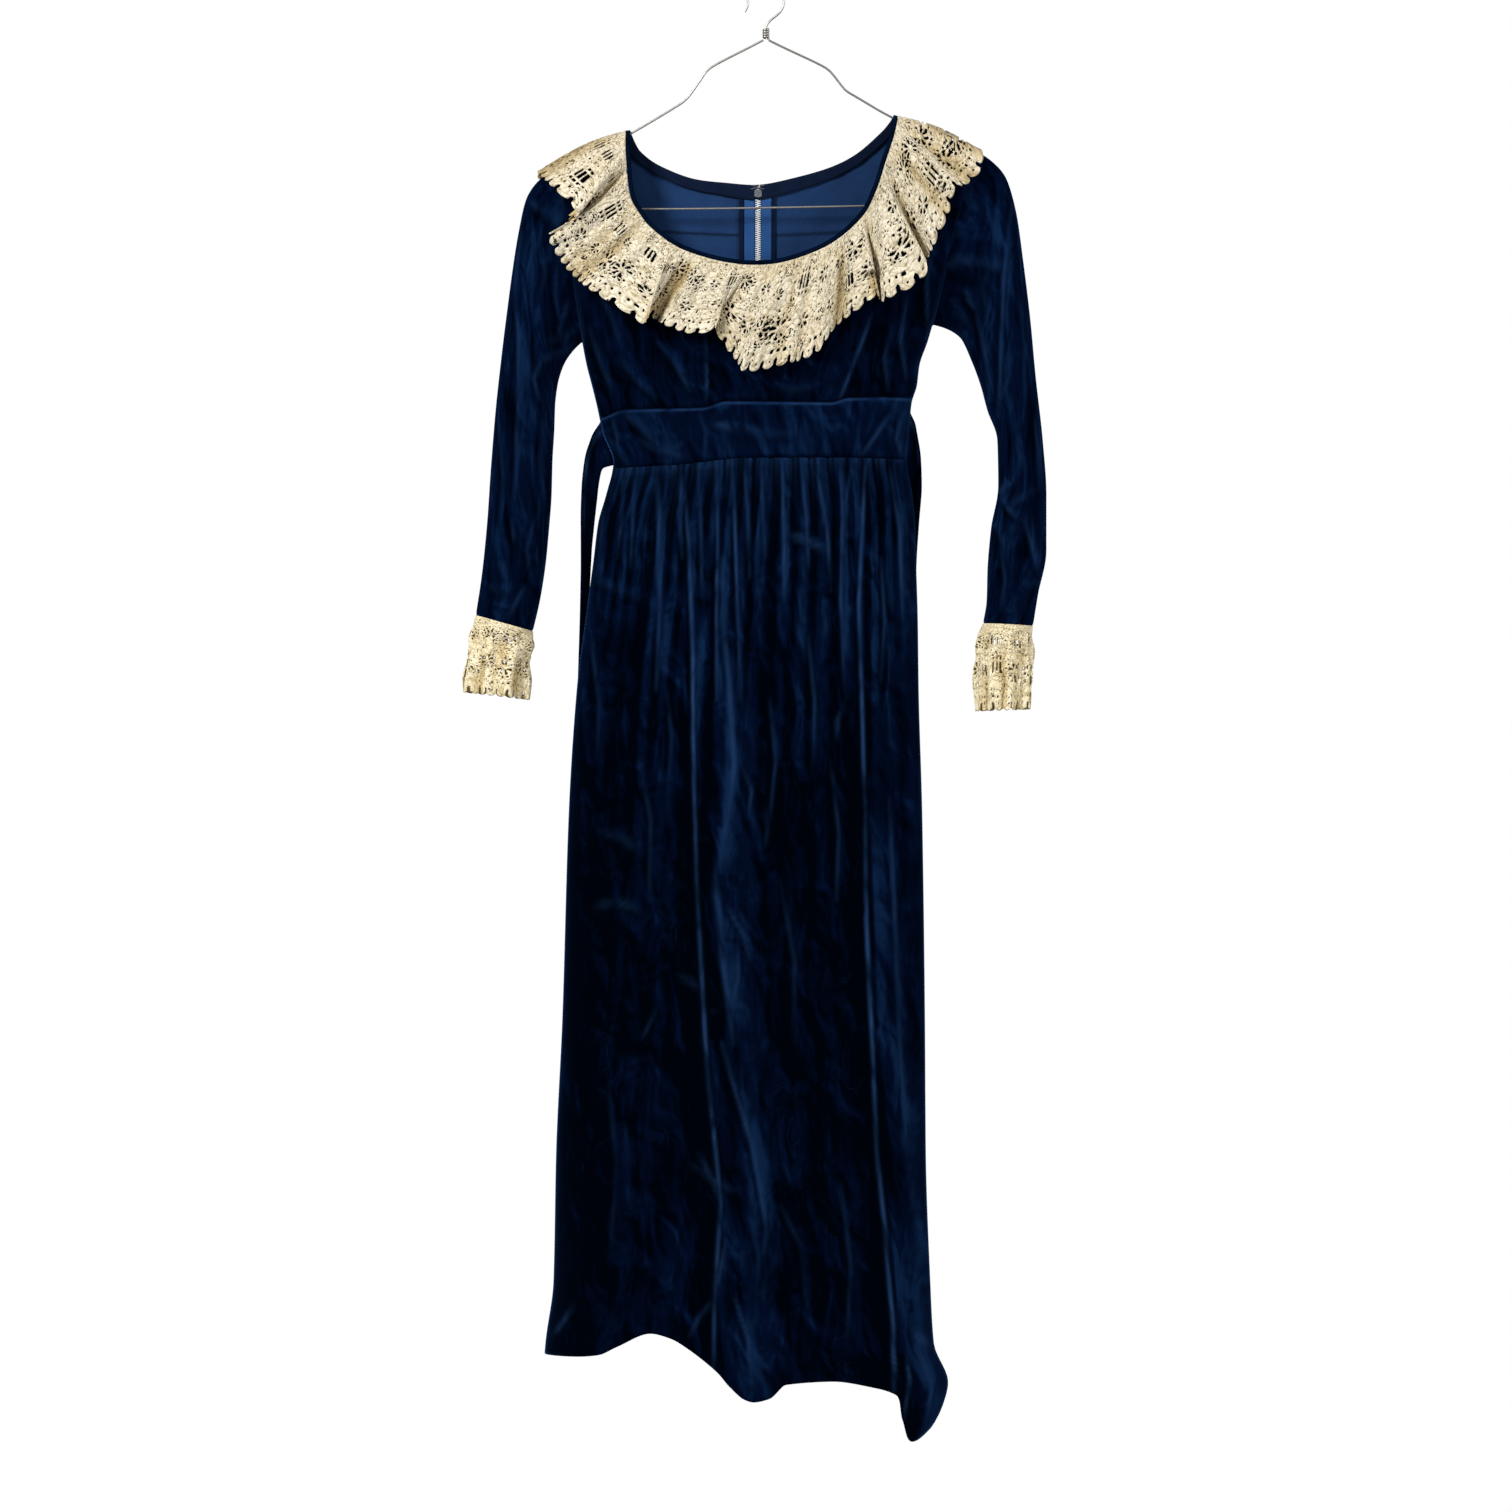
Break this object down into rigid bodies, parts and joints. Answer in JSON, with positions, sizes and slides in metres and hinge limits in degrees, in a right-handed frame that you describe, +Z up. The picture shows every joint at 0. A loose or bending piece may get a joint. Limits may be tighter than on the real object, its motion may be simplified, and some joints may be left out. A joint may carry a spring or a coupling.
{
  "type": "prairie dress on wire hanger",
  "caption": "Long-sleeved floor-length velvet dress with a fitted midriff band, gathered skirt, lace ruffle collar and lace cuffs, hanging on a steel wire hanger.",
  "frame": {"origin": "inside top of the hanger's hook, where a rail carries it", "axes": "+Z up, +Y towards the dress's back, so its front faces -Y; +X to the right of someone looking at its front"},
  "size_m": [0.6544, 0.1762, 1.6269],
  "materials": {
    "velvet": "deep pile cotton velvet",
    "velvet_edge": "folded velvet binding",
    "lace": "crocheted cotton lace",
    "zip_tape": "woven cotton tape",
    "zip_metal": "bright stamped metal",
    "hanger_wire": "drawn wire"
  },
  "bodies": {
    "dress": {"front_bodice": "velvet", "back_bodice_left": "velvet", "back_bodice_right": "velvet", "band_front": "velvet", "band_back_left": "velvet", "band_back_right": "velvet", "skirt_front": "velvet", "skirt_back_left": "velvet", "skirt_back_right": "velvet", "sleeve_left": "velvet", "sleeve_right": "velvet", "tie_left": "velvet", "tie_right": "velvet", "binding_front": "velvet_edge", "binding_back_left": "velvet_edge", "binding_back_right": "velvet_edge", "collar_front": "lace", "collar_back_left": "lace", "collar_back_right": "lace", "cuff_left_front": "lace", "cuff_left_back": "lace", "cuff_right_front": "lace", "cuff_right_back": "lace", "zip_tape_left": "zip_tape", "zip_tape_right": "zip_tape", "zip_chain": "zip_metal", "zip_slider": "zip_metal", "neck_hook": "zip_metal", "neck_eye": "zip_metal", "hanger_frame": "hanger_wire", "hanger_hook": "hanger_wire", "hanger_twist": "hanger_wire"},
    "pull_tab": {"zip_pull_tab": "zip_metal"}
  },
  "joints": [
    {"name": "pull_tab_swing", "type": "hinge", "parent": "dress", "child": "pull_tab", "pos_m": [-0.009, 0.0241, -0.233], "axis": [1, 0, 0], "range_deg": [0, 150]}
  ]
}
